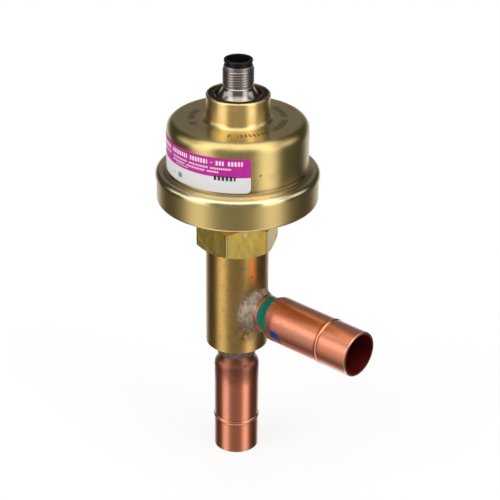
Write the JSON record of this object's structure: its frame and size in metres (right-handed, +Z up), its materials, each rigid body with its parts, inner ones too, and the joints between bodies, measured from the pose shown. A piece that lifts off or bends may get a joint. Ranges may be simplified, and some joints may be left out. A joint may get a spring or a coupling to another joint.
{
  "type": "refrigeration modulating valve",
  "caption": "Step-motor modulating valve for refrigerant: brass motor dome on a hexagon adapter and body, copper solder sockets below and at the side, plugged connector on top.",
  "frame": {"origin": "centre of the bottom solder socket's mouth", "axes": "+Z up the valve's axis to the connector, +X along the side fitting"},
  "size_m": [0.0942, 0.0636, 0.17],
  "materials": {
    "brass_top": "satin",
    "brass_cup": "satin",
    "brass_hex": "satin",
    "brass_body": "satin",
    "brass_inner": "satin",
    "copper_tube": "satin",
    "braze_metal": "matte",
    "label_film": "satin",
    "black_rubber": "satin",
    "sleeve_brass": "satin",
    "stub_steel": "satin",
    "plug_plastic": "satin",
    "insert_plastic": "matte",
    "pin_gold": "polished",
    "header_steel": "satin",
    "seal_glass": "gloss",
    "board": "satin",
    "plate_steel": "satin",
    "ground_steel": "polished",
    "gear_plastic": "satin",
    "gear_brass": "satin",
    "bush_bronze": "matte",
    "coil_former": "matte",
    "coil_copper": "satin",
    "magnet": "matte",
    "seal_plastic": "satin"
  },
  "bodies": {
    "housing": {"top_housing": "brass_top", "lower_housing": "brass_cup", "hex_adapter": "brass_hex", "valve_body": "brass_body", "key_pin": "brass_inner", "bottom_tube": "copper_tube", "side_tube": "copper_tube", "bottom_braze": "braze_metal", "side_braze": "braze_metal", "housing_braze": "braze_metal", "rating_label": "label_film", "neck_seal_ring": "black_rubber", "gland_sleeve": "sleeve_brass", "connector_stub": "stub_steel", "contact_insert": "insert_plastic", "contact_pins": "pin_gold", "pin_header": "header_steel", "glass_seals": "seal_glass", "terminal_board": "board", "gearbox_bottom_plate": "plate_steel", "gearbox_top_plate": "plate_steel", "gearbox_posts": "plate_steel", "motor_end_plate": "plate_steel", "stator_lower_cup": "plate_steel", "stator_upper_cup": "plate_steel", "pole_plate_lower": "plate_steel", "pole_plate_upper": "plate_steel", "idler_arbor_1": "ground_steel", "idler_arbor_2": "ground_steel", "thrust_washer": "ground_steel", "retaining_spring": "ground_steel", "screw_bushing": "bush_bronze", "rotor_bottom_bush": "bush_bronze", "rotor_top_bush": "bush_bronze", "bobbin_lower": "coil_former", "bobbin_upper": "coil_former", "winding_lower": "coil_copper", "winding_upper": "coil_copper", "coil_leads": "coil_copper", "seat_ring": "seal_plastic"},
    "dust_plug": {"dust_plug": "plug_plastic"},
    "rotor": {"rotor_magnet": "magnet", "rotor_hub": "gear_plastic", "rotor_shaft": "ground_steel"},
    "idler_1": {"idler_gear_1": "gear_plastic"},
    "idler_2": {"idler_gear_2": "gear_plastic"},
    "drive_screw": {"output_gear": "gear_brass", "lead_screw": "brass_inner", "retaining_ring": "ground_steel"},
    "piston": {"piston": "brass_inner", "piston_nut": "brass_inner", "piston_seal": "seal_plastic", "seal_screw": "ground_steel"}
  },
  "joints": [
    {"name": "plug_pull", "type": "slide", "parent": "housing", "child": "dust_plug", "axis": [0, 0, 1], "range_m": [0, 0.012]},
    {"name": "rotor_spin", "type": "hinge", "parent": "housing", "child": "rotor", "pos_m": [0, 0, 0.1353], "axis": [0, 0, 1], "range_deg": [0, 11494.9]},
    {"name": "idler_1_turn", "type": "hinge", "parent": "housing", "child": "idler_1", "pos_m": [0, 0.012, 0.122], "axis": [0, 0, 1], "range_deg": [-3831.7, 0]},
    {"name": "idler_2_turn", "type": "hinge", "parent": "housing", "child": "idler_2", "pos_m": [-0.00876, 0.00206, 0.12], "axis": [0, 0, 1], "range_deg": [0, 1121.54]},
    {"name": "screw_turn", "type": "hinge", "parent": "housing", "child": "drive_screw", "pos_m": [0, 0, 0.11], "axis": [0, 0, 1], "range_deg": [-560.82, 0]},
    {"name": "piston_lift", "type": "slide", "parent": "housing", "child": "piston", "axis": [0, 0, 1], "range_m": [0, 0.00635]}
  ],
  "couplings": [
    {"joint": "rotor_spin", "follows": "piston_lift", "rad_per_m": 31594},
    {"joint": "idler_1_turn", "follows": "piston_lift", "rad_per_m": -10531},
    {"joint": "idler_2_turn", "follows": "piston_lift", "rad_per_m": 3082.3},
    {"joint": "screw_turn", "follows": "piston_lift", "rad_per_m": -1541.2}
  ]
}
